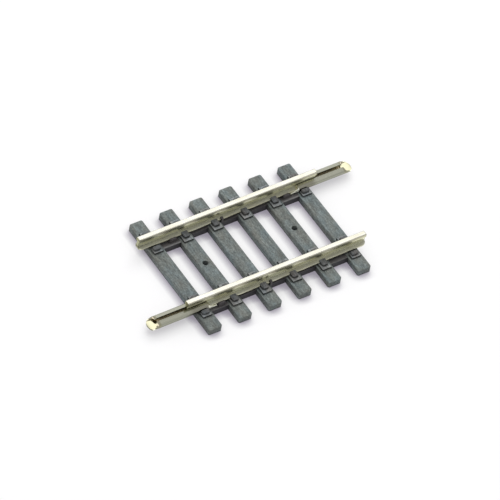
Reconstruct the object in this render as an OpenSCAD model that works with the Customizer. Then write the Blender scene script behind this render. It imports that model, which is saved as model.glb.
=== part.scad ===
// Short straight section of model railway track: one moulded strip of six
// sleepers, two flat-bottom rails held in moulded chairs, and two folded rail
// joiners, one on the right end of the far rail and one on the left end of the
// near rail. X runs along the rails, Y across them towards the far rail, and Z
// is up from the underside of the sleepers.

/* [Rails] */
// Distance between the inner faces of the two rail heads
track_gauge = 16.5; // [14:0.1:19]
// Length of each rail
rail_l = 40.4; // [38:0.1:60]
// Height of a rail from the base of its foot to its running surface
rail_h = 2.5; // [2.2:0.01:3]
// Width of the rail head
head_w = 1.1; // [0.9:0.02:1.4]
// Depth of the rail head at its sides
head_h = 0.75; // [0.55:0.05:0.95]
// Rounding of the running edges
head_edge_r = 0.18; // [0.05:0.01:0.22]
// Thickness of the upright web between head and foot
web_t = 0.5; // [0.4:0.02:0.7]
// Width of the rail foot
foot_w = 2.2; // [1.8:0.05:2.4]
// Thickness of the foot at its edge
foot_edge_h = 0.3; // [0.22:0.02:0.4]
// Rise of the foot from its edge to the web
foot_rise = 0.2; // [0.1:0.02:0.3]
// Length over which the foot is nosed at each rail end
nose_l = 1.2; // [0.6:0.1:2]
// Width of the foot at the tip of its nose
nose_tip_w = 0.8; // [0.75:0.05:1.6]

/* [Sleepers] */
// Length of a sleeper, across the rails
sleeper_l = 29.3; // [27:0.1:36]
// Width of a sleeper, along the rails
sleeper_w = 2.88; // [2.4:0.02:3.2]
// Thickness of a sleeper
sleeper_h = 1.5; // [1.3:0.05:2.5]
// Distance from the rail's end back to the centre of the end sleeper
end_sleeper_inset = 3.3; // [2.8:0.1:4.2]
// Rounding of the upright corners of a sleeper
corner_r = 0.35; // [0.1:0.05:0.8]
// Rounding of the top edges of a sleeper
edge_r = 0.12; // [0.04:0.02:0.3]
// Diameter of the track pin's hole
pin_hole_d = 1.2; // [0.8:0.05:1.5]

/* [Chairs] */
// Sleeper left bare on each side of a chair's base plate
chair_margin = 0.4; // [0.2:0.02:0.5]
// Length of base plate showing past the rail foot
plate_toe = 1.75; // [1.4:0.05:2.2]
// Height of the gripping block above the sleeper
block_h = 0.95; // [0.85:0.05:1.2]
// Height of an open chair's block above an end sleeper
end_block_h = 0.95; // [0.5:0.05:1.2]
// Length of block showing past the rail foot
block_toe = 1.1; // [0.8:0.05:1.35]
// Base plate left bare on each side of its block
block_margin = 0.36; // [0.2:0.02:0.5]
// Length of block that laps over the edge of the foot
block_lap = 0.33; // [0.1:0.01:0.4]
// Rounding of the block's upper edges
block_r = 0.26; // [0.1:0.02:0.3]
// Clearance between the moulding and the rail foot
rail_gap = 0.03; // [0.01:0.01:0.06]

/* [Bridges between sleepers] */
// Height of the bars that join the sleepers under the rails
bridge_h = 1.4; // [0.8:0.05:1.45]
// Half of what a plain bar is wider than the foot
bridge_margin = 0.13; // [0.05:0.01:0.5]
// Half of what an end bar is wider than its pair of stop lugs
end_bridge_margin = 0.46; // [0.3:0.02:0.8]
// Distance that the bars stand in from the rail towards the middle of the track
bridge_shift = 0.15; // [0:0.01:0.25]
// Distance from the end sleeper's side to the stop lug
lug_inset = 1.81; // [1.4:0.01:2.2]
// Length of a stop lug along the rail
lug_l = 1.5; // [0.6:0.05:1.6]
// Thickness of a stop lug across the rail
lug_t = 0.5; // [0.36:0.02:0.7]
// Height of a stop lug above the sleepers
lug_h = 0.85; // [0.5:0.05:1]
// Length of the locking tab beside the third sleeper
tab_l = 0.45; // [0.3:0.05:0.8]
// Thickness of the locking tab beside the foot
tab_t = 0.25; // [0.2:0.01:0.4]

/* [Joiners] */
// Thickness of the folded sheet
sheet_t = 0.26; // [0.15:0.01:0.3]
// Running clearance between joiner and rail
joiner_gap = 0.05; // [0.02:0.01:0.08]
// Inner radius of the folds
fold_r = 0.06; // [0.03:0.01:0.1]
// Length that the full folds reach past the end of the rail
joiner_reach = 6.15; // [5:0.05:8]
// Length over which the walls slope down to the lip at each end
lip_l = 2; // [0.8:0.1:2.4]
// Rounding of the lips' corners
lip_r = 0.55; // [0.2:0.05:0.9]
// Gap between the joiner and its stop lug
stop_gap = 0.3; // [0.1:0.05:0.5]
// Clearance below a joiner, over the end sleeper
under_gap = 0.04; // [0.03:0.01:0.1]
// Clearance on each side of a joiner, between the end chairs
side_gap = 0.12; // [0.05:0.01:0.2]

/* [Hidden] */

sleeper_count = 6;
// Sides of the rail, and ends of the track
plus = 1;
minus = -1;

// Plan of the track
rail_y = (track_gauge + head_w) / 2;
end_sleeper_x = rail_l / 2 - end_sleeper_inset;
sleeper_pitch = 2 * end_sleeper_x / (sleeper_count - 1);
bay_l = sleeper_pitch - sleeper_w;

// Rail section
root_r = min(0.08, (head_w - web_t) / 4);
foot_edge_r = foot_edge_h / 4;
head_slope = head_h / 6;
foot_angle = atan(foot_rise / (foot_w / 2 - web_t / 2));
web_mid = (foot_edge_h + foot_rise + rail_h - head_h) / 2;

// Joiner section, measured from the base of the rail foot
joiner_room = foot_w / 2 + joiner_gap;
joiner_half = joiner_room + sheet_t;
slot_half = web_t / 2 + root_r + joiner_gap;
joiner_bottom = -joiner_gap - sheet_t;
fold_z = foot_edge_h + joiner_gap - fold_r;
fold_rise = (joiner_room - fold_r - slot_half) * tan(foot_angle);
fold_top = fold_z + (fold_r + sheet_t) / cos(foot_angle) + fold_rise;

// Heights: the rail stands clear of the end sleepers by the joiner's own sheet
plate_h = joiner_gap + sheet_t + under_gap;
rail_z = sleeper_h + plate_h;

// Lengths along the track
chair_w = sleeper_w - 2 * chair_margin;
plate_reach = foot_w / 2 + plate_toe;
block_reach = foot_w / 2 + block_toe;
block_w = chair_w - 2 * block_margin;
plate_edge_r = plate_h / 4;
passage_half = joiner_half + side_gap;
end_block_in = passage_half + side_gap;
lug_in = foot_w / 2 + rail_gap;
lug_out = lug_in + lug_t;
lug_x = end_sleeper_x - sleeper_w / 2 - lug_inset;
joiner_in_x = lug_x + stop_gap;
joiner_out_x = rail_l / 2 + joiner_reach;
joiner_tip_x = joiner_out_x + lip_l;

plain_bridge_half = foot_w / 2 + bridge_margin;
end_bridge_half = lug_out + end_bridge_margin;

arc_steps = 6;
over = 1;
dark_grey = [0.36, 0.39, 0.38];
nickel = [0.78, 0.77, 0.68];
bright_nickel = [0.82, 0.82, 0.74];

// Points on a round corner, from angle a to angle b
function arc(centre, r, a, b) =
    [for (i = [0:arc_steps]) let (t = a + (b - a) * i / arc_steps) centre + r * [cos(t), sin(t)]];

// The other half of a symmetrical outline, in running order
function other_half(points) =
    [for (i = [len(points) - 1:-1:0]) [-points[i][0], points[i][1]]];

function mirrored(points) = concat(points, other_half(points));

function sleeper_x(i) = -end_sleeper_x + (i - 1) * sleeper_pitch;

// Draws a section given in Y and Z along the rails, centred
module along_rails(l) {
    rotate([90, 0, 90])
        linear_extrude(l, center = true)
            children();
}

// Draws a section given in X and Z across the rails, centred
module across_rails(l) {
    rotate([90, 0, 0])
        linear_extrude(l, center = true)
            children();
}

// Upright outline of a bar with rounded upper corners
module eased_outline(w, h, r) {
    polygon(mirrored(concat([[w / 2, 0]], arc([w / 2 - r, h - r], r, 0, 90))));
}

module rounded_plan(w, l, r) {
    square([w - 2 * r, l], center = true);
    square([w, l - 2 * r], center = true);
    for (x = [minus, plus], y = [minus, plus])
        translate([x * (w / 2 - r), y * (l / 2 - r)])
            circle(r, $fn = 32);
}

// Bar standing on z = 0 with rounded upright corners and eased top edges
module eased_bar(w, l, h, upright_r, top_r) {
    intersection() {
        linear_extrude(h)
            rounded_plan(w, l, upright_r);
        across_rails(l)
            eased_outline(w, h, top_r);
        along_rails(w)
            eased_outline(l, h, top_r);
    }
}

// Flat-bottom rail section standing on y = 0
module rail_section() {
    foot_top = foot_edge_h + foot_rise;
    head_under = rail_h - head_h - head_slope;
    half = concat(
        arc([foot_w / 2 - foot_edge_r, foot_edge_r], foot_edge_r, -90, 0),
        arc([foot_w / 2 - foot_edge_r, foot_edge_h - foot_edge_r], foot_edge_r, 0, 90 - foot_angle),
        arc([web_t / 2 + root_r, foot_top + root_r], root_r, 270 - foot_angle, 180),
        arc([web_t / 2 + root_r, head_under - root_r], root_r, 180, 90),
        [[head_w / 2, rail_h - head_h]],
        arc([head_w / 2 - head_edge_r, rail_h - head_edge_r], head_edge_r, 0, 90));
    polygon(mirrored(half));
}

// Room that the moulding leaves for the rail's foot and web
module rail_room_section() {
    foot_half = foot_w / 2 + rail_gap;
    neck = web_t / 2 + root_r + rail_gap;
    neck_z = foot_edge_h + foot_rise + rail_gap;
    polygon(mirrored([
        [foot_half, 0],
        [foot_half, foot_edge_h + rail_gap],
        [neck, neck_z],
        [neck, rail_h + over]]));
}

// Plan of the rail foot, nosed in towards the web at both ends
module foot_plan() {
    nose_in = (foot_w - nose_tip_w) / 2;
    nose = [for (i = [0:arc_steps]) let (t = 90 * i / arc_steps)
        [rail_l / 2 - nose_l * (1 - sin(t)), foot_w / 2 - nose_in * (1 - cos(t))]];
    half = concat(other_half(nose), nose);
    polygon(concat(half, [for (i = [len(half) - 1:-1:0]) [half[i][0], -half[i][1]]]));
}

module rail(side) {
    color(nickel)
        translate([0, side * rail_y, rail_z])
            intersection() {
                along_rails(rail_l)
                    rail_section();
                union() {
                    linear_extrude(web_mid)
                        foot_plan();
                    translate([-rail_l / 2, -foot_w / 2, web_mid])
                        cube([rail_l, foot_w, rail_h]);
                }
            }
}

// Gripping block on one side of the rail, before the rail's room is cut
module chair_block(inner, h) {
    mid = (inner + block_reach) / 2;
    reach = block_reach - inner;
    intersection() {
        translate([0, mid, 0])
            along_rails(block_w)
                eased_outline(reach, h, block_r);
        across_rails(4 * block_reach)
            eased_outline(block_w, h, block_r);
    }
}

// Block whose inner face is left square where it meets the rail or the joiner
module square_backed_block(inner, h) {
    intersection() {
        chair_block(inner - block_r, h);
        translate([-block_w, inner, 0])
            cube([2 * block_w, block_reach, h]);
    }
}

module chair_plate() {
    intersection() {
        across_rails(2 * plate_reach)
            eased_outline(chair_w, plate_h, plate_edge_r);
        along_rails(chair_w)
            eased_outline(2 * plate_reach, plate_h, plate_edge_r);
    }
}

// Chair that grips the rail foot on both sides
module gripping_chair() {
    chair_plate();
    difference() {
        for (side = [0, 1])
            mirror([0, side, 0])
                square_backed_block(foot_w / 2 - block_lap, block_h);
        translate([0, 0, plate_h])
            along_rails(2 * chair_w)
                rail_room_section();
    }
}

// Open chair of an end sleeper, with a clear way for the joiner
module open_chair() {
    difference() {
        chair_plate();
        cube([2 * chair_w, 2 * passage_half, 2 * plate_h + over], center = true);
    }
    for (side = [0, 1])
        mirror([0, side, 0])
            square_backed_block(end_block_in, end_block_h);
}

// One sleeper of the moulding with its four half chairs
module sleeper(i) {
    at_end = i == 1 || i == sleeper_count;
    pinned = i == 2 || i == sleeper_count - 1;
    color(dark_grey)
        translate([sleeper_x(i), 0, 0])
            difference() {
                union() {
                    eased_bar(sleeper_w, sleeper_l, sleeper_h, corner_r, edge_r);
                    for (side = [minus, plus])
                        translate([0, side * rail_y, sleeper_h])
                            if (at_end)
                                open_chair();
                            else
                                gripping_chair();
                }
                if (pinned)
                    translate([0, 0, -over])
                        cylinder(d = pin_hole_d, h = sleeper_h + 2 * over, $fn = 48);
            }
}

// Lug that the end of a joiner stops against
module stop_lug() {
    h = sleeper_h + lug_h - bridge_h;
    translate([lug_x - lug_l / 2, (lug_in + lug_out) / 2, bridge_h])
        intersection() {
            along_rails(lug_l)
                eased_outline(lug_t, h, lug_t / 4);
            across_rails(lug_t)
                eased_outline(lug_l, h, lug_l / 4);
        }
}

// Tab that locks the rail lengthwise, lapping over its foot
module locking_tab() {
    inner = foot_w / 2 - block_lap;
    outer = lug_in + tab_t;
    difference() {
        translate([sleeper_x(3) + sleeper_w / 2, -outer, 0])
            cube([tab_l, outer - inner, sleeper_h + block_h]);
        translate([0, 0, rail_z])
            along_rails(rail_l)
                rail_room_section();
        translate([-rail_l / 2, -lug_in, bridge_h])
            cube([rail_l, 2 * lug_in, rail_z - bridge_h]);
    }
}

// Bar of the moulding that joins sleeper i to the next one under a rail
module bridge(side, i) {
    at_end = i == 1 || i == sleeper_count - 1;
    half = at_end ? end_bridge_half : plain_bridge_half;
    // A joiner sits on the far rail's right end and on the near rail's left end
    track_end = i == 1 ? minus : plus;
    joined = track_end == side;
    color(dark_grey)
        translate([0, side * rail_y, 0]) {
            translate([sleeper_x(i) + sleeper_w / 2, -half - side * bridge_shift, 0])
                cube([bay_l, 2 * half, bridge_h]);
            if (at_end)
                at_track_end(track_end) {
                    mirror([0, side == plus ? 1 : 0, 0])
                        stop_lug();
                    if (joined)
                        mirror([0, side == plus ? 0 : 1, 0])
                            stop_lug();
                }
            if (i == 3)
                locking_tab();
        }
}

// Places what is drawn for the right end of the track at either end
module at_track_end(track_end) {
    mirror([track_end == plus ? 0 : 1, 0, 0])
        children();
}

// Folded section of a joiner round the rail foot
module joiner_section() {
    c = joiner_room - fold_r;
    outer_r = fold_r + sheet_t;
    low = -joiner_gap + fold_r;
    top = 90 - foot_angle;
    outer_end = [c, fold_z] + outer_r * [cos(top), sin(top)];
    inner_end = [c, fold_z] + fold_r * [cos(top), sin(top)];
    half = concat(
        arc([c, low], outer_r, -90, 0),
        arc([c, fold_z], outer_r, 0, top),
        [[slot_half, outer_end[1] + (outer_end[0] - slot_half) * tan(foot_angle)]],
        [[slot_half, inner_end[1] + (inner_end[0] - slot_half) * tan(foot_angle)]],
        arc([c, fold_z], fold_r, top, 0),
        arc([c, low], fold_r, 0, -90));
    polygon(mirrored(half));
}

// Side of a joiner: at each end its walls slope down to a lip past the full folds
module joiner_side() {
    polygon([
        [joiner_in_x, joiner_bottom],
        [joiner_tip_x, joiner_bottom],
        [joiner_tip_x, joiner_bottom + sheet_t],
        [joiner_out_x, fold_top],
        [joiner_in_x + lip_l, fold_top],
        [joiner_in_x, joiner_bottom + sheet_t]]);
}

// Plan of a joiner, with the corners of both lips rounded
module joiner_plan() {
    translate([(joiner_in_x + joiner_tip_x) / 2, 0])
        rounded_plan(joiner_tip_x - joiner_in_x, 2 * joiner_half, lip_r);
}

module joiner(side) {
    color(bright_nickel)
        translate([0, side * rail_y, rail_z])
            at_track_end(side)
                intersection() {
                    along_rails(2 * joiner_tip_x)
                        joiner_section();
                    across_rails(2 * joiner_half)
                        joiner_side();
                    translate([0, 0, joiner_bottom])
                        linear_extrude(fold_top - joiner_bottom)
                            joiner_plan();
                }
}

sleeper(1);  // sleeper_1
sleeper(2);  // sleeper_2
sleeper(3);  // sleeper_3
sleeper(4);  // sleeper_4
sleeper(5);  // sleeper_5
sleeper(6);  // sleeper_6
bridge(plus, 1);  // far_bridge_1
bridge(plus, 2);  // far_bridge_2
bridge(plus, 3);  // far_bridge_3
bridge(plus, 4);  // far_bridge_4
bridge(plus, 5);  // far_bridge_5
bridge(minus, 1);  // near_bridge_1
bridge(minus, 2);  // near_bridge_2
bridge(minus, 3);  // near_bridge_3
bridge(minus, 4);  // near_bridge_4
bridge(minus, 5);  // near_bridge_5
rail(plus);  // far_rail
rail(minus);  // near_rail
joiner(plus);  // far_joiner
joiner(minus);  // near_joiner
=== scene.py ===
import math

import bpy
from mathutils import Matrix, Vector


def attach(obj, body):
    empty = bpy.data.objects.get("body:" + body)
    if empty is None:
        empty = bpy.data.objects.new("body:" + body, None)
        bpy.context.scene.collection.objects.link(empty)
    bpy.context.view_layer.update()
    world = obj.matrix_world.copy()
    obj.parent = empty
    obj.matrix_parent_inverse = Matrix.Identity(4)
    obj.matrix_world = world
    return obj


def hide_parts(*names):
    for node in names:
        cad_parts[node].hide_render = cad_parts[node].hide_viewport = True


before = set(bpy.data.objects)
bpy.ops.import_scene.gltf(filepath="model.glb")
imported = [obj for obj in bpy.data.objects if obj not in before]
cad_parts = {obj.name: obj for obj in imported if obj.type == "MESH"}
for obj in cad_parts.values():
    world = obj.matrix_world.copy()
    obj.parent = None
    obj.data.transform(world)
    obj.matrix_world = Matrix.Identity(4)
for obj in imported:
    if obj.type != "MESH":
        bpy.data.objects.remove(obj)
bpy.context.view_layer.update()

# Shapes are modelled in millimetres and brought to metres when they are done
MM = 0.001

# Track plan
RAIL_Y = 8.8
SLEEPER_PITCH = 6.76
SLEEPER_COUNT = 6
PINNED = (2, 5)

# Sleeper
SLEEPER_W = 2.88
SLEEPER_L = 29.3
SLEEPER_H = 1.5
CORNER_R = 0.35
EDGE_R = 0.12
PIN_HOLE_R = 0.6
GRAIN_STEP_X = 0.07
GRAIN_STEP_Y = 0.36
GRAIN_STRETCH = 6.0
GRAIN_FADE = 0.5
BROAD_GRAIN = 0.55
FINE_GRAIN = 0.2
GRAIN_DETAIL = 2
GRAIN_H = 0.05
HOLE_SIDES = 40
SLEEPER_SMOOTH = 40

# Chairs
PLATE_W = 2.08
PLATE_REACH = 2.85
PLATE_H = 0.35
PLATE_EDGE = 0.09
BLOCK_W = 1.36
BLOCK_REACH = 2.2
END_BLOCK_W = 1.66
END_BLOCK_REACH = 2.42
BLOCK_H = 0.95
BLOCK_R = 0.28
BLOCK_CORNER_R = 0.38
FOOT_SIDE = 1.13
LAP_SIDE = 0.77
LAP_UNDER = 0.765
PASSAGE_SIDE = 1.53
END_BLOCK_SIDE = 1.65
END_BLOCK_H = 0.95
ROOT = 0.1

# Bars: heights that their tops lie between, and distances from the rail where their painted shade
# and highlight change
BAR_TOP_LOW = 1.34
BAR_TOP_HIGH = 1.46
BAR_INNER = 1.1
BAR_OUTER = 2.1

# Rails
RAIL_Z = 1.85
RAIL_TOP = 4.35
RAIL_END = 20.2
SAWN_L = 1.0

# Joiners
LIP_START = 13.95
FOLD_START = 15.95
FOLD_END = 26.35
LIP_END = 28.35
SHEET_T = 0.26
JOINER_SIDE = 1.41
JOINER_BASE = 1.54
SLOT_SIDE = 0.38
WALL_TOP = 2.3934
FOLD_SLOPE = 0.2353
FLOOR_BEND = 0.32
TOP_BEND = 0.2534
LIP_R = 1.8
LIP_BULGE = 0.27
LIP_RIM_Z = 1.88
SCOOP_R = 2.7
SPARE = 1.0
BEND_STEPS = 16
ROUND_SIDES = 128
JOINER_SMOOTH = 8

# Places on a joiner where its finish, painted light and painted shade change
JOINER_TOP = 2.7
WALL_IN = 1.17
WALL_OUT = 1.6
CHANNEL_LOW = 1.7
CHANNEL_TOP = 2.36
HOLLOW_LOW = 1.87
HIGHLIGHT_TOP = 2.1
MOUTH_L = 0.9
TIP_DARK_L = 0.6

# Places on a sleeper where its painted shade and highlights change
CHAIR_SPAN = 1.0
RAIL_SHADE_FROM = 4.0
RECESS_REACH = 0.7

# Most of a noise lies between these
NOISE_LOW = 0.3
NOISE_HIGH = 0.7

# Picture and studio
PICTURE = 500
SENSOR = 36
FLOOR_SIZE = 6
FLOOR_GLOW = 0.52
SHADE_REACH = 1.95
SHADE_LEAN = (0.6, 0.6, 0.0)


# Modelling by hand

def deselect():
    bpy.ops.object.select_all(action="DESELECT")


def make_active(piece):
    deselect()
    piece.select_set(True)
    bpy.context.view_layer.objects.active = piece


def block(name, low, high):
    """A block between two corners."""
    deselect()
    bpy.ops.mesh.primitive_cube_add(size=1)
    piece = bpy.context.object
    piece.name = name
    piece.scale = [h - l for l, h in zip(low, high)]
    piece.location = [(h + l) / 2 for l, h in zip(low, high)]
    bpy.ops.object.transform_apply(location=True, rotation=False, scale=True)
    return piece


def pick_faces(piece, wanted):
    """Edit mode, with the faces picked whose middle and normal are wanted."""
    make_active(piece)
    bpy.ops.object.mode_set(mode="EDIT")
    bpy.ops.mesh.select_mode(type="FACE")
    bpy.ops.mesh.select_all(action="DESELECT")
    bpy.ops.object.mode_set(mode="OBJECT")
    for face in piece.data.polygons:
        face.select = wanted(face.center, face.normal)
    bpy.ops.object.mode_set(mode="EDIT")


def pick_edges(piece, wanted):
    """Edit mode, with the edges picked whose two ends are wanted."""
    make_active(piece)
    bpy.ops.object.mode_set(mode="EDIT")
    bpy.ops.mesh.select_mode(type="EDGE")
    bpy.ops.mesh.select_all(action="DESELECT")
    bpy.ops.object.mode_set(mode="OBJECT")
    points = piece.data.vertices
    for edge in piece.data.edges:
        a, b = edge.vertices
        edge.select = wanted(points[a].co, points[b].co)
    bpy.ops.object.mode_set(mode="EDIT")


def object_mode():
    bpy.ops.object.mode_set(mode="OBJECT")


def near(value, place):
    return abs(value - place) < 1e-4


def bevel_picked(width, segments):
    bpy.ops.mesh.bevel(
        offset=width, offset_type="OFFSET", segments=segments, profile=0.5, affect="EDGES")
    object_mode()


def copy_of(piece, name):
    make_active(piece)
    bpy.ops.object.duplicate()
    twin = bpy.context.object
    twin.name = name
    return twin


def shift(piece, step):
    make_active(piece)
    piece.location = step
    bpy.ops.object.transform_apply(location=True, rotation=False, scale=False)


def join(name, pieces):
    deselect()
    for piece in pieces:
        piece.select_set(True)
    bpy.context.view_layer.objects.active = pieces[0]
    bpy.ops.object.join()
    pieces[0].name = name
    return pieces[0]


def apply_modifier(piece, modifier):
    make_active(piece)
    bpy.ops.object.modifier_apply(modifier=modifier.name)


def cut_with(piece, tool, operation):
    """Cuts a piece with a tool, which is used up."""
    cut = piece.modifiers.new("cut", "BOOLEAN")
    cut.object = tool
    cut.operation = operation
    cut.solver = "EXACT"
    apply_modifier(piece, cut)
    bpy.data.objects.remove(tool)


def to_metres(piece, smooth_up_to):
    """Brings a finished piece to metres, with edges up to an angle in degrees shaded smooth."""
    make_active(piece)
    piece.scale = (MM, MM, MM)
    bpy.ops.object.transform_apply(location=True, rotation=False, scale=True)
    bpy.ops.object.shade_smooth_by_angle(angle=math.radians(smooth_up_to))


# Sleepers

def slice_across(piece, step, half, normal):
    """Cuts right through a piece at even steps."""
    make_active(piece)
    bpy.ops.object.mode_set(mode="EDIT")
    count = int(2 * half / step)
    for i in range(1, count):
        place = -half + 2 * half * i / count
        bpy.ops.mesh.select_all(action="SELECT")
        bpy.ops.mesh.bisect(plane_co=[place * n for n in normal], plane_no=normal)
    object_mode()


def plain_sleeper():
    """Rounded bar, cut finely enough to take the grain."""
    piece = block(
        "plain_sleeper", (-SLEEPER_W / 2, -SLEEPER_L / 2, 0),
        (SLEEPER_W / 2, SLEEPER_L / 2, SLEEPER_H))
    pick_edges(piece, lambda a, b: near(a.x, b.x) and near(a.y, b.y))
    bevel_picked(CORNER_R, 4)
    pick_faces(piece, lambda c, n: n.z > 0.9)
    bpy.ops.mesh.region_to_loop()
    bevel_picked(EDGE_R, 3)
    slice_across(piece, GRAIN_STEP_X, SLEEPER_W / 2 - EDGE_R, (1, 0, 0))
    slice_across(piece, GRAIN_STEP_Y, SLEEPER_L / 2 - EDGE_R, (0, 1, 0))
    pick_faces(piece, lambda c, n: n.z < -0.9)
    bpy.ops.mesh.dissolve_faces()
    object_mode()
    return piece


def grain_texture(name, size, depth):
    texture = bpy.data.textures.new(name, "CLOUDS")
    texture.noise_scale = size
    texture.noise_depth = depth
    return texture


def raise_grain(piece, layers):
    """Presses wood grain into a sleeper: cloudy relief, drawn out along the sleeper."""
    pressed = piece.vertex_groups.new(name="pressed")
    for point in piece.data.vertices:
        depth = min(1.0, point.co.z / GRAIN_FADE)
        pressed.add([point.index], depth, "REPLACE")
    make_active(piece)
    bpy.ops.object.mode_set(mode="EDIT")
    bpy.ops.mesh.select_all(action="SELECT")
    bpy.ops.transform.resize(value=(1, 1 / GRAIN_STRETCH, 1), center_override=(0, 0, 0))
    object_mode()
    for texture, height in layers:
        grain = piece.modifiers.new("grain", "DISPLACE")
        grain.texture = texture
        grain.texture_coords = "LOCAL"
        grain.direction = "Z"
        grain.strength = height
        grain.mid_level = 0.5
        grain.vertex_group = "pressed"
        apply_modifier(piece, grain)
    bpy.ops.object.mode_set(mode="EDIT")
    bpy.ops.mesh.select_all(action="SELECT")
    bpy.ops.transform.resize(value=(1, GRAIN_STRETCH, 1), center_override=(0, 0, 0))
    object_mode()
    piece.vertex_groups.clear()


def drill(piece, x):
    """Track pin hole, right through."""
    deselect()
    bpy.ops.mesh.primitive_cylinder_add(
        vertices=HOLE_SIDES, radius=PIN_HOLE_R, depth=4 * SLEEPER_H, location=(x, 0, 0))
    cut_with(piece, bpy.context.object, "DIFFERENCE")


# Chairs

def chair_plate(name, inner, outer):
    """Low plate that a chair's blocks stand on, rooted in the sleeper."""
    plate = block(
        name, (-PLATE_W / 2, inner, SLEEPER_H - ROOT), (PLATE_W / 2, outer, SLEEPER_H + PLATE_H))
    pick_faces(plate, lambda c, n: n.z > 0.9)
    bpy.ops.mesh.region_to_loop()
    bevel_picked(PLATE_EDGE, 2)
    return plate


def chair_block(name, inner, reach, width, height, lap):
    """Gripping block on one side of the rail, with a lap over the rail foot where asked."""
    top = SLEEPER_H + height
    body = block(name, (-width / 2, inner, SLEEPER_H), (width / 2, reach, top))
    if lap:
        make_active(body)
        bpy.ops.object.mode_set(mode="EDIT")
        bpy.ops.mesh.select_all(action="SELECT")
        bpy.ops.mesh.bisect(plane_co=(0, 0, SLEEPER_H + LAP_UNDER), plane_no=(0, 0, 1))
        object_mode()
        pick_faces(body, lambda c, n: n.y < -0.9 and c.z > SLEEPER_H + LAP_UNDER)
        bpy.ops.mesh.extrude_region_move(TRANSFORM_OT_translate={"value": (0, LAP_SIDE - inner, 0)})
        object_mode()
    pick_edges(body, lambda a, b: near(a.y, reach) and near(b.y, reach) and near(a.x, b.x))
    bevel_picked(BLOCK_CORNER_R, 5)
    across = lambda a, b: near(a.y, b.y) and a.y < reach - BLOCK_CORNER_R
    pick_edges(body, lambda a, b: near(a.z, top) and near(b.z, top) and not across(a, b))
    bevel_picked(BLOCK_R, 4)
    return body


def mirrored_pair(name, half):
    """A half chair and its mirror on the other side of the rail."""
    other = copy_of(half, name + "_other")
    other.scale = (1, -1, 1)
    bpy.ops.object.transform_apply(location=False, rotation=False, scale=True)
    bpy.ops.object.mode_set(mode="EDIT")
    bpy.ops.mesh.select_all(action="SELECT")
    bpy.ops.mesh.normals_make_consistent(inside=False)
    object_mode()
    return join(name, [half, other])


def gripping_chair():
    """Chair that holds the rail foot from both sides."""
    plate = chair_plate("plate", -PLATE_REACH, PLATE_REACH)
    grip = chair_block("grip", FOOT_SIDE, BLOCK_REACH, BLOCK_W, BLOCK_H, True)
    return join("gripping_chair", [plate, mirrored_pair("blocks", grip)])


def open_chair():
    """Chair on an end sleeper, open to let a joiner pass."""
    plate = chair_plate("plate", PASSAGE_SIDE, PLATE_REACH)
    side_block = chair_block(
        "side_block", END_BLOCK_SIDE, END_BLOCK_REACH, END_BLOCK_W, END_BLOCK_H, False)
    return mirrored_pair("open_chair", join("half_open_chair", [plate, side_block]))


def sleeper_x(number):
    return (number - (SLEEPER_COUNT + 1) / 2) * SLEEPER_PITCH


def make_sleepers():
    bar = plain_sleeper()
    grip = gripping_chair()
    opened = open_chair()
    layers = [
        (grain_texture("broad_grain", BROAD_GRAIN, GRAIN_DETAIL), GRAIN_H),
        (grain_texture("fine_grain", FINE_GRAIN, GRAIN_DETAIL), GRAIN_H)]
    made = []
    for number in range(1, SLEEPER_COUNT + 1):
        x = sleeper_x(number)
        sleeper = copy_of(bar, "bar")
        shift(sleeper, (x, 0, 0))
        raise_grain(sleeper, layers)
        if number in PINNED:
            drill(sleeper, x)
        chairs = []
        for side in (-1, 1):
            chair = copy_of(opened if number in (1, SLEEPER_COUNT) else grip, "chair")
            shift(chair, (x, side * RAIL_Y, 0))
            chairs.append(chair)
        sleeper = join("grained_sleeper_%d" % number, [sleeper] + chairs)
        to_metres(sleeper, SLEEPER_SMOOTH)
        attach(sleeper, "track")
        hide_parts("sleeper_%d" % number)
        made.append(sleeper)
    for pattern in (bar, grip, opened):
        bpy.data.objects.remove(pattern)
    return made


# Joiners

def outside_of_joiner():
    """Floor, walls and folds of a joiner, as a strip without thickness."""
    deselect()
    bpy.ops.mesh.primitive_plane_add(size=1)
    strip = bpy.context.object
    strip.scale = (LIP_END + SPARE - LIP_START, 2 * JOINER_SIDE, 1)
    strip.location = ((LIP_START + LIP_END + SPARE) / 2, 0, JOINER_BASE)
    bpy.ops.object.transform_apply(location=True, rotation=False, scale=True)
    pick_edges(strip, lambda a, b: near(a.y, b.y))
    bpy.ops.mesh.extrude_region_move(
        TRANSFORM_OT_translate={"value": (0, 0, WALL_TOP - JOINER_BASE)})
    object_mode()
    fold_l = JOINER_SIDE - SLOT_SIDE
    for side in (-1, 1):
        pick_edges(
            strip, lambda a, b: a.y * side > 0 and near(a.z, WALL_TOP) and near(b.z, WALL_TOP))
        bpy.ops.mesh.extrude_region_move(
            TRANSFORM_OT_translate={"value": (0, -side * fold_l, fold_l * FOLD_SLOPE)})
        object_mode()
    for height, bend in ((JOINER_BASE, FLOOR_BEND), (WALL_TOP, TOP_BEND)):
        pick_edges(
            strip, lambda a, b: near(a.y, b.y) and near(a.z, height) and near(b.z, height))
        bevel_picked(bend, BEND_STEPS)
    return strip


def scoop_end(piece, x):
    """Hollows the walls of one end down to the lip."""
    deselect()
    bpy.ops.mesh.primitive_cylinder_add(
        vertices=ROUND_SIDES, radius=SCOOP_R, depth=4 * JOINER_SIDE,
        location=(x, 0, LIP_RIM_Z + SCOOP_R), rotation=(math.pi / 2, 0, 0))
    cut_with(piece, bpy.context.object, "DIFFERENCE")


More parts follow.
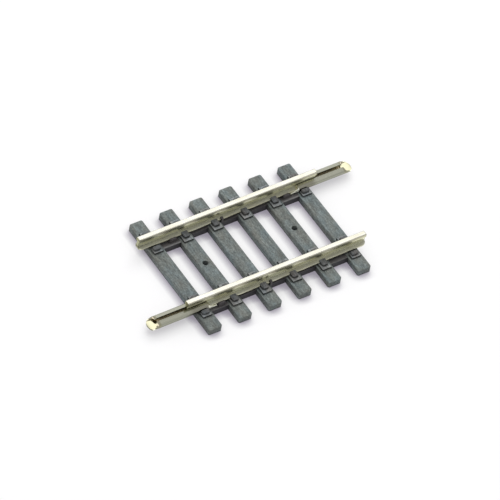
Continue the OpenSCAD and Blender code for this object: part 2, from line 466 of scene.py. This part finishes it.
def round_ended_plan():
    """Plan of a joiner with a round outer lip: a drum drawn out along the rail."""
    end = LIP_END + LIP_BULGE - LIP_R
    deselect()
    bpy.ops.mesh.primitive_cylinder_add(
        vertices=ROUND_SIDES, radius=LIP_R, depth=2 * RAIL_TOP, location=(LIP_START, 0, 0))
    tool = bpy.context.object
    bpy.ops.object.transform_apply(location=True, rotation=False, scale=False)
    pick_faces(tool, lambda c, n: n.x > 0.01)
    bpy.ops.transform.translate(value=(end - LIP_START, 0, 0))
    object_mode()
    return tool


def folded_joiner():
    """Joiner for the right end of a rail: a folded sheet, scooped down to a lip at both ends."""
    piece = outside_of_joiner()
    sheet = piece.modifiers.new("sheet", "SOLIDIFY")
    sheet.thickness = SHEET_T
    sheet.offset = 1
    sheet.use_even_offset = True
    apply_modifier(piece, sheet)
    bpy.ops.object.mode_set(mode="EDIT")
    bpy.ops.mesh.select_all(action="SELECT")
    bpy.ops.mesh.normals_make_consistent(inside=False)
    object_mode()
    scoop_end(piece, LIP_START)
    scoop_end(piece, LIP_END)
    cut_with(piece, round_ended_plan(), "INTERSECT")
    return piece


def make_joiners():
    """A joiner on the far rail, and the same one turned round on the near rail."""
    far = folded_joiner()
    far.name = "scooped_far_joiner"
    near_one = copy_of(far, "scooped_near_joiner")
    near_one.rotation_euler = (0, 0, math.pi)
    bpy.ops.object.transform_apply(location=False, rotation=True, scale=False)
    made = []
    for piece, side, body in ((far, 1, "far_joiner"), (near_one, -1, "near_joiner")):
        shift(piece, (0, side * RAIL_Y, 0))
        to_metres(piece, JOINER_SMOOTH)
        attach(piece, body)
        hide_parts(body)
        made.append(piece)
    return made


# Finishes

def new_finish(name):
    finish = bpy.data.materials.new(name)
    finish.use_nodes = True
    tree = finish.node_tree
    tree.nodes.clear()
    out = tree.nodes.new("ShaderNodeOutputMaterial")
    shader = tree.nodes.new("ShaderNodeBsdfPrincipled")
    tree.links.new(shader.outputs["BSDF"], out.inputs["Surface"])
    return finish, tree, shader


def drawn_noise(tree, stretch, detail, roughness=0.55):
    """Cloudy noise on the piece's own coordinates, stretched by steps per metre along each axis."""
    place = tree.nodes.new("ShaderNodeTexCoord")
    turn = tree.nodes.new("ShaderNodeMapping")
    turn.inputs["Scale"].default_value = stretch
    noise = tree.nodes.new("ShaderNodeTexNoise")
    noise.inputs["Scale"].default_value = 1.0
    noise.inputs["Detail"].default_value = detail
    noise.inputs["Roughness"].default_value = roughness
    tree.links.new(place.outputs["Object"], turn.inputs["Vector"])
    tree.links.new(turn.outputs["Vector"], noise.inputs["Vector"])
    return noise.outputs["Fac"]


def even(level):
    return (level, level, level)


def ramp(tree, source, stops):
    node = tree.nodes.new("ShaderNodeValToRGB")
    bar = node.color_ramp
    while len(bar.elements) < len(stops):
        bar.elements.new(0.5)
    for element, (place, colour) in zip(bar.elements, stops):
        element.position = place
        element.color = (*colour, 1)
    tree.links.new(source, node.inputs["Fac"])
    return node.outputs["Color"]


def off_middle(tree, axis):
    """A point's distance from the middle of the track on one axis."""
    place = tree.nodes.new("ShaderNodeTexCoord")
    parts = tree.nodes.new("ShaderNodeSeparateXYZ")
    far = tree.nodes.new("ShaderNodeMath")
    far.operation = "ABSOLUTE"
    tree.links.new(place.outputs["Object"], parts.inputs["Vector"])
    tree.links.new(parts.outputs[axis], far.inputs[0])
    return far.outputs[0]


def reading(tree, axis, low, high):
    """How far a point lies between two distances from the middle on one axis, from 0 to 1."""
    node = tree.nodes.new("ShaderNodeMapRange")
    node.inputs["From Min"].default_value = low * MM
    node.inputs["From Max"].default_value = high * MM
    tree.links.new(off_middle(tree, axis), node.inputs["Value"])
    return node.outputs["Result"]


def from_rail(tree, low, high):
    """How far a point lies between two distances from the nearest rail's middle, from 0 to 1."""
    beside = tree.nodes.new("ShaderNodeMath")
    beside.operation = "SUBTRACT"
    beside.inputs[1].default_value = RAIL_Y * MM
    either = tree.nodes.new("ShaderNodeMath")
    either.operation = "ABSOLUTE"
    node = tree.nodes.new("ShaderNodeMapRange")
    node.inputs["From Min"].default_value = low * MM
    node.inputs["From Max"].default_value = high * MM
    tree.links.new(off_middle(tree, "Y"), beside.inputs[0])
    tree.links.new(beside.outputs[0], either.inputs[0])
    tree.links.new(either.outputs[0], node.inputs["Value"])
    return node.outputs["Result"]


def within(tree, axis, low, high):
    """1 where a point's distance from the middle on one axis lies between two lengths."""
    check = tree.nodes.new("ShaderNodeMath")
    check.operation = "COMPARE"
    check.inputs[1].default_value = (low + high) / 2 * MM
    check.inputs[2].default_value = (high - low) / 2 * MM
    tree.links.new(off_middle(tree, axis), check.inputs[0])
    return check.outputs[0]


def combine(tree, operation, a, b):
    node = tree.nodes.new("ShaderNodeMath")
    node.operation = operation
    tree.links.new(a, node.inputs[0])
    tree.links.new(b, node.inputs[1])
    return node.outputs[0]


def blend(tree, factor, a, b, way="MIX"):
    node = tree.nodes.new("ShaderNodeMix")
    node.data_type = "RGBA"
    node.blend_type = way
    if isinstance(factor, float):
        node.inputs["Factor"].default_value = factor
    else:
        tree.links.new(factor, node.inputs["Factor"])
    tree.links.new(a, node.inputs["A"])
    tree.links.new(b, node.inputs["B"])
    return node.outputs["Result"]


def layered(tree, first, *others):
    """Colours laid over one another, each one multiplied with those below it."""
    for other in others:
        first = blend(tree, 1.0, first, other, "MULTIPLY")
    return first


def between(tree, noise, low, high):
    """Colour that goes from one to another over the range of a noise."""
    return ramp(tree, noise, [(NOISE_LOW, low), (NOISE_HIGH, high)])


def spread(tree, noise, low, high):
    """Number that goes from one to another over the range of a noise."""
    node = tree.nodes.new("ShaderNodeMapRange")
    node.inputs["From Min"].default_value = NOISE_LOW
    node.inputs["From Max"].default_value = NOISE_HIGH
    node.inputs["To Min"].default_value = low
    node.inputs["To Max"].default_value = high
    tree.links.new(noise, node.inputs["Value"])
    return node.outputs["Result"]


def recess_shade(tree, reach, deep, plain):
    """Painted shade: colour that falls off in corners and under edges, where shade gathers."""
    node = tree.nodes.new("ShaderNodeAmbientOcclusion")
    node.samples = 8
    node.inputs["Distance"].default_value = reach * MM
    return ramp(tree, node.outputs["AO"], [(0.35, deep), (0.85, plain)])


def bumps(tree, shader, source, strength, depth):
    node = tree.nodes.new("ShaderNodeBump")
    node.inputs["Strength"].default_value = strength
    node.inputs["Distance"].default_value = depth
    tree.links.new(source, node.inputs["Height"])
    tree.links.new(node.outputs["Normal"], shader.inputs["Normal"])


def grained_plastic():
    """Grey plastic with wood grain, for the sleepers and their chairs, with painted shade and
    highlights.
    """
    finish, tree, shader = new_finish("grained_plastic")
    streaks = drawn_noise(tree, (3600, 1000, 3600), 5, 0.7)
    specks = drawn_noise(tree, (3200, 2600, 3200), 2, 0.6)
    bands = drawn_noise(tree, (1500, 45, 1500), 2)
    patches = drawn_noise(tree, (520, 300, 520), 3)
    grey = ramp(tree, streaks, [
        (NOISE_LOW, (0.09, 0.104, 0.098)), (0.5, (0.145, 0.165, 0.157)),
        (NOISE_HIGH, (0.215, 0.243, 0.232))])
    dots = between(tree, specks, even(0.74), even(1.26))
    tint = ramp(tree, patches, [
        (NOISE_LOW, (0.98, 0.91, 0.85)), (0.5, (0.98, 0.99, 0.98)),
        (NOISE_HIGH, (0.96, 1.06, 1.13))])
    growth = between(tree, bands, even(0.84), even(1.16))
    # Painted shade and highlight on the chairs: plate sides and blocks are darker where the rail's
    # shadow falls, and a light line is painted along the plate's top edge.
    chairs = ramp(tree, reading(tree, "Z", SLEEPER_H, SLEEPER_H + CHAIR_SPAN), [
        (0.035, even(1.0)), (0.055, (0.22, 0.21, 0.22)), (0.325, (0.22, 0.21, 0.22)),
        (0.345, (1.5, 1.4, 1.46)), (0.36, (1.5, 1.4, 1.46)), (0.4, (0.24, 0.22, 0.23)),
        (0.6, (0.36, 0.33, 0.34)), (0.85, (0.76, 0.69, 0.72))])
    # Painted highlight: a light line along the top edge of the sleeper sides.
    rim = ramp(tree, reading(tree, "Z", 0, SLEEPER_H), [
        (0.9, even(1.0)), (0.93, (1.3, 1.3, 1.24)), (0.96, (1.3, 1.3, 1.24)), (0.98, even(1.0))])
    # Painted shade: the sleeper sides are darker beside the rails, where the rails' shadow falls,
    # and darker again at the sleeper ends.
    rail_and_end_shade = ramp(tree, reading(tree, "Y", RAIL_SHADE_FROM, SLEEPER_L / 2), [
        (0.0, even(1.0)), (0.28, (0.62, 0.6, 0.6)), (0.62, (0.62, 0.6, 0.6)),
        (0.95, even(0.82)), (0.99, even(0.82)), (1.0, even(0.72))])
    # The sleeper sides are lighter towards the bottom.
    paler_at_bottom = ramp(tree, reading(tree, "Z", 0, SLEEPER_H), [(0.25, even(1.22)), (0.5, even(1.0))])
    below_rim = within(tree, "Z", 0, SLEEPER_H - EDGE_R)
    sides = blend(tree, below_rim, rim, layered(tree, rail_and_end_shade, paler_at_bottom))
    # Painted shade in corners, around the chairs and under edges.
    corners = recess_shade(tree, RECESS_REACH, (0.25, 0.24, 0.24), even(1.0))
    colour = layered(tree, grey, dots, tint, growth, chairs, sides, corners)
    tree.links.new(colour, shader.inputs["Base Color"])
    tree.links.new(spread(tree, streaks, 0.72, 0.58), shader.inputs["Roughness"])
    shader.inputs["Specular IOR Level"].default_value = 0.35
    bumps(tree, shader, streaks, 0.35, 0.00004)
    return finish


def plain_plastic():
    """Dark moulded plastic of the bars, with painted shade on their sides and near the rails, and a
    pale rim along their edges that is a painted highlight.
    """
    finish, tree, shader = new_finish("moulded_plastic")
    skin = drawn_noise(tree, (1500, 1500, 1500), 4)
    speckle = between(tree, skin, even(0.8), even(1.1))
    # Painted shade on the bar sides, with a pale band near their top edge as a painted highlight.
    sides = ramp(tree, reading(tree, "Z", 0, SLEEPER_H), [
        (0.85, (0.034, 0.033, 0.035)), (0.92, even(0.11)), (0.97, even(0.11)),
        (0.99, (0.055, 0.05, 0.05))])
    # Painted shadow on the bar tops next to the rail, getting lighter outward to a painted
    # highlight at the outer edge.
    tops = ramp(tree, from_rail(tree, BAR_INNER, BAR_OUTER), [
        (0.1, (0.05, 0.047, 0.045)), (0.62, (0.09, 0.085, 0.083)),
        (0.82, (0.12, 0.118, 0.116)), (0.88, (0.2, 0.2, 0.195))])
    grey = blend(tree, within(tree, "Z", BAR_TOP_LOW, BAR_TOP_HIGH), sides, tops)
    tree.links.new(layered(tree, grey, speckle), shader.inputs["Base Color"])
    tree.links.new(spread(tree, skin, 0.5, 0.62), shader.inputs["Roughness"])
    bumps(tree, shader, skin, 0.2, 0.00002)
    return finish


def drawn_nickel():
    """Drawn metal of the rails: bright heads, clouded webs and sawn ends, with each face's
    reflection painted lighter or darker by height.
    """
    finish, tree, shader = new_finish("drawn_nickel_silver")
    lines = drawn_noise(tree, (45, 5200, 5200), 4)
    tarnish = drawn_noise(tree, (260, 700, 700), 3)
    # Painted reflection: the metal is lighter or darker band by band up the rail, to set how bright
    # each face's reflection shows; the top of the foot is painted darker as shade beside the web.
    metal = ramp(tree, reading(tree, "Z", RAIL_Z, RAIL_TOP), [
        (0.1, (0.74, 0.74, 0.58)), (0.13, (0.41, 0.415, 0.34)), (0.2, (0.41, 0.415, 0.34)),
        (0.3, (0.98, 0.99, 0.8)), (0.7, (0.93, 0.94, 0.75)), (0.84, (0.64, 0.63, 0.46)),
        (0.95, (0.58, 0.565, 0.44)), (0.985, (0.53, 0.527, 0.49))])
    drawn = between(tree, lines, (0.76, 0.76, 0.72), even(1.06))
    stain = ramp(tree, tarnish, [(0.35, (0.9, 0.88, 0.82)), (0.65, even(1.0))])
    sawn = ramp(tree, reading(tree, "X", RAIL_END - SAWN_L, RAIL_END), [
        (0.88, even(1.0)), (0.97, (0.5, 0.5, 0.4))])
    worn = layered(tree, drawn, stain, sawn)
    tree.links.new(layered(tree, metal, worn), shader.inputs["Base Color"])
    shader.inputs["Metallic"].default_value = 1.0
    drawn_faces = ramp(tree, reading(tree, "Z", RAIL_Z, RAIL_TOP), [
        (0.25, even(0.4)), (0.35, even(0.27)), (0.72, even(0.27)), (0.85, even(0.4))])
    scuffs = between(tree, lines, even(0.9), even(1.1))
    tree.links.new(layered(tree, drawn_faces, scuffs), shader.inputs["Roughness"])
    bumps(tree, shader, lines, 0.15, 0.00002)
    return finish


def folded_nickel():
    """Folded sheet of the joiners, with painted shade beside the rail and low on the walls, painted
    highlights at the ends, and a stain inside painted lighter.
    """
    finish, tree, shader = new_finish("folded_nickel_silver")
    lines = drawn_noise(tree, (120, 2600, 2600), 4)
    # A lit copy of the metal, and a darker copy as painted shade where the rail's shadow falls
    # beside it.
    bright = between(tree, lines, (0.375, 0.38, 0.3), (0.425, 0.43, 0.345))
    shaded_beside_rail = between(tree, lines, (0.25, 0.245, 0.19), (0.3, 0.295, 0.23))
    # A darker copy of the metal for the lip, painted to hold down the lamp's reflection on it.
    dimmed_lip = between(tree, lines, (0.282, 0.276, 0.192), (0.325, 0.315, 0.222))
    # A near-white copy of the metal, a painted highlight low on the walls at the ends.
    painted_highlight_metal = between(tree, lines, (0.84, 0.85, 0.74), (0.92, 0.93, 0.82))
    # A brown stain inside, painted lighter to stand in for light that reaches in, and lighter still
    # at the mouth as painted light.
    stain_lightened_inside = between(tree, lines, (0.48, 0.445, 0.3), (0.57, 0.525, 0.36))
    mouth = between(tree, lines, (0.84, 0.78, 0.6), (0.93, 0.86, 0.67))
    # The lip is darker towards its tip.
    darker_to_tip = ramp(tree, reading(tree, "X", LIP_END - TIP_DARK_L, LIP_END + LIP_BULGE), [
        (0.0, even(1.0)), (0.6, even(0.9)), (0.85, even(0.68)), (1.0, even(0.5))])
    lip = layered(tree, dimmed_lip, darker_to_tip)
    # Painted shade: the joiner is darker along the length that lies beside the rail.
    beside_rail = ramp(
        tree, reading(tree, "X", 0, RAIL_END), [(0.94, even(1.0)), (1.0, even(0.0))])
    # Painted shade: the walls are darker towards the base.
    walls = ramp(tree, reading(tree, "Z", JOINER_BASE, JOINER_TOP), [
        (0.0, (0.52, 0.52, 0.53)), (0.25, even(0.76)), (0.7, even(0.84)), (0.85, even(1.0))])
    shell = layered(tree, blend(tree, beside_rail, bright, shaded_beside_rail), walls)
    folded = within(tree, "X", FOLD_START, FOLD_END)
    # Mask of the painted highlight: low on the wall sides, near both ends.
    low = reading(tree, "Z", JOINER_BASE, HIGHLIGHT_TOP)
    outer_end = combine(tree, "ADD", low, reading(tree, "X", LIP_END, FOLD_END))
    inner_end = reading(tree, "X", LIP_START, FOLD_START)
    either_end = combine(tree, "MINIMUM", outer_end, inner_end)
    end_highlight_fade = ramp(tree, either_end, [(0.9, even(1.0)), (1.0, even(0.0))])
    wall_sides = combine(
        tree, "MAXIMUM", within(tree, "Y", RAIL_Y - WALL_OUT, RAIL_Y - WALL_IN),
        within(tree, "Y", RAIL_Y + WALL_IN, RAIL_Y + WALL_OUT))
    highlight_mask = combine(tree, "MULTIPLY", end_highlight_fade, wall_sides)
    channel = combine(
        tree, "MULTIPLY", within(tree, "Y", RAIL_Y - WALL_IN, RAIL_Y + WALL_IN),
        within(tree, "Z", CHANNEL_LOW, CHANNEL_TOP))
    shaded = combine(tree, "MAXIMUM", folded, within(tree, "Z", HOLLOW_LOW, CHANNEL_TOP))
    inside = combine(tree, "MULTIPLY", channel, shaded)
    outer = blend(tree, highlight_mask, blend(tree, folded, lip, shell), painted_highlight_metal)
    hidden = blend(tree, reading(tree, "X", FOLD_END - MOUTH_L, FOLD_END), stain_lightened_inside, mouth)
    tree.links.new(blend(tree, inside, outer, hidden), shader.inputs["Base Color"])
    shader.inputs["Metallic"].default_value = 1.0
    smooth = between(tree, lines, even(0.17), even(0.23))
    matt = between(tree, lines, even(0.6), even(0.7))
    matt_places = combine(tree, "MAXIMUM", inside, highlight_mask)
    tree.links.new(blend(tree, matt_places, smooth, matt), shader.inputs["Roughness"])
    bumps(tree, shader, lines, 0.1, 0.00002)
    return finish


def dress(piece, finish):
    piece.data.materials.clear()
    piece.data.materials.append(finish)


def dress_node(name, finish):
    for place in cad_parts[name].material_slots:
        place.material = finish


# Studio

def contact_shade(tree, reach, deep, plain):
    """Colour that falls off on the floor beside the object, on the side turned from the lamp."""
    shape = tree.nodes.new("ShaderNodeNewGeometry")
    lean = tree.nodes.new("ShaderNodeVectorMath")
    lean.operation = "ADD"
    lean.inputs[1].default_value = SHADE_LEAN
    unit = tree.nodes.new("ShaderNodeVectorMath")
    unit.operation = "NORMALIZE"
    node = tree.nodes.new("ShaderNodeAmbientOcclusion")
    node.samples = 16
    node.inputs["Distance"].default_value = reach * MM
    tree.links.new(shape.outputs["Normal"], lean.inputs[0])
    tree.links.new(lean.outputs["Vector"], unit.inputs[0])
    tree.links.new(unit.outputs["Vector"], node.inputs["Normal"])
    return ramp(tree, node.outputs["AO"], [(0.35, deep), (0.95, plain)])


def white_floor():
    """White floor: what the camera and mirrors see of it is lifted, and its shade stays."""
    deselect()
    bpy.ops.mesh.primitive_plane_add(size=FLOOR_SIZE)
    floor = bpy.context.object
    floor.name = "floor"
    finish, tree, shader = new_finish("white_table")
    white = contact_shade(tree, SHADE_REACH, (0.43, 0.4, 0.47), even(0.98))
    tree.links.new(white, shader.inputs["Base Color"])
    shader.inputs["Roughness"].default_value = 0.9
    shader.inputs["Specular IOR Level"].default_value = 0.0
    glow = tree.nodes.new("ShaderNodeEmission")
    tree.links.new(white, glow.inputs["Color"])
    lifted = tree.nodes.new("ShaderNodeMixShader")
    lifted.inputs["Fac"].default_value = FLOOR_GLOW
    tree.links.new(shader.outputs["BSDF"], lifted.inputs[1])
    tree.links.new(glow.outputs["Emission"], lifted.inputs[2])
    path = tree.nodes.new("ShaderNodeLightPath")
    mirrored = combine(
        tree, "MAXIMUM", path.outputs["Is Glossy Ray"], path.outputs["Is Transmission Ray"])
    seen = combine(tree, "MAXIMUM", path.outputs["Is Camera Ray"], mirrored)
    backdrop = tree.nodes.new("ShaderNodeMixShader")
    tree.links.new(seen, backdrop.inputs["Fac"])
    tree.links.new(shader.outputs["BSDF"], backdrop.inputs[1])
    tree.links.new(lifted.outputs["Shader"], backdrop.inputs[2])
    tree.links.new(backdrop.outputs["Shader"], tree.nodes["Material Output"].inputs["Surface"])
    dress(floor, finish)


def strip_lamp(name, toward, distance, length, width, radiance, colour):
    """Strip lamp, long way along the track, that shines on the middle of it."""
    lamp = bpy.data.lights.new(name, "AREA")
    lamp.shape = "RECTANGLE"
    lamp.size = length
    lamp.size_y = width
    lamp.energy = radiance * math.pi * length * width
    lamp.color = colour
    holder = bpy.data.objects.new(name, lamp)
    bpy.context.scene.collection.objects.link(holder)
    way = Vector(toward).normalized()
    across = way.cross((1, 0, 0)).normalized()
    turn = Matrix((across.cross(way), across, way)).transposed().to_4x4()
    holder.matrix_world = Matrix.Translation(way * distance) @ turn


def room_light(overhead, horizon, front):
    """Light from all round, a little brighter toward the horizon and dimmer from the front."""
    world = bpy.data.worlds.new("soft_room")
    world.use_nodes = True
    tree = world.node_tree
    back = tree.nodes["Background"]
    place = tree.nodes.new("ShaderNodeTexCoord")
    parts = tree.nodes.new("ShaderNodeSeparateXYZ")
    tree.links.new(place.outputs["Generated"], parts.inputs["Vector"])
    depth = tree.nodes.new("ShaderNodeMapRange")
    depth.inputs["From Min"].default_value = -1
    tree.links.new(parts.outputs["Y"], depth.inputs["Value"])
    height = ramp(tree, parts.outputs["Z"], [(0.3, horizon), (0.8, overhead)])
    dimming = ramp(tree, depth.outputs["Result"], [(0.0, even(front)), (1.0, even(1.0))])
    tree.links.new(layered(tree, height, dimming), back.inputs["Color"])
    bpy.context.scene.world = world


def camera(azimuth, elevation, roll, scale, distance, middle):
    """Camera on the photograph's line of sight. Scale is pixels a millimetre, and middle the
    pixel that shows the middle of the sleepers' top."""
    az, el, tilt = (math.radians(v) for v in (azimuth, elevation, roll))
    right = Vector((math.cos(az), math.sin(az), 0))
    back = Vector((math.sin(az) * math.cos(el), -math.cos(az) * math.cos(el), math.sin(el)))
    up = back.cross(right)
    across = math.cos(tilt) * right + math.sin(tilt) * up
    upward = -math.sin(tilt) * right + math.cos(tilt) * up
    aim = Vector((0, 0, SLEEPER_H))
    aim += across * (PICTURE / 2 - middle[0]) / scale
    aim -= upward * (PICTURE / 2 - middle[1]) / scale
    data = bpy.data.cameras.new("camera")
    data.sensor_width = SENSOR
    data.lens = scale * distance / PICTURE * SENSOR
    data.clip_end = 50
    holder = bpy.data.objects.new("camera", data)
    bpy.context.scene.collection.objects.link(holder)
    turn = Matrix((across, upward, back)).transposed().to_4x4()
    holder.matrix_world = Matrix.Translation((aim + back * distance) * MM) @ turn
    bpy.context.scene.camera = holder


plastic = grained_plastic()
for sleeper in make_sleepers():
    dress(sleeper, plastic)
moulded = plain_plastic()
rail_metal = drawn_nickel()
joiner_metal = folded_nickel()
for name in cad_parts:
    if "bridge" in name:
        dress_node(name, moulded)
    elif name.endswith("rail"):
        dress_node(name, rail_metal)
for joiner in make_joiners():
    dress(joiner, joiner_metal)

white_floor()
strip_lamp(
    "key", toward=(0.436, 0.506, 0.744), distance=0.6, length=0.62, width=0.24, radiance=2.75,
    colour=(1.0, 0.99, 0.96))
room_light(overhead=(0.93, 0.92, 0.95), horizon=(1.1, 1.09, 1.12), front=0.78)
camera(
    azimuth=-40.7487, elevation=48.1219, roll=11.2944, scale=5.2396, distance=1000,
    middle=(250.27, 245.36))
bpy.context.scene.view_settings.view_transform = "Standard"
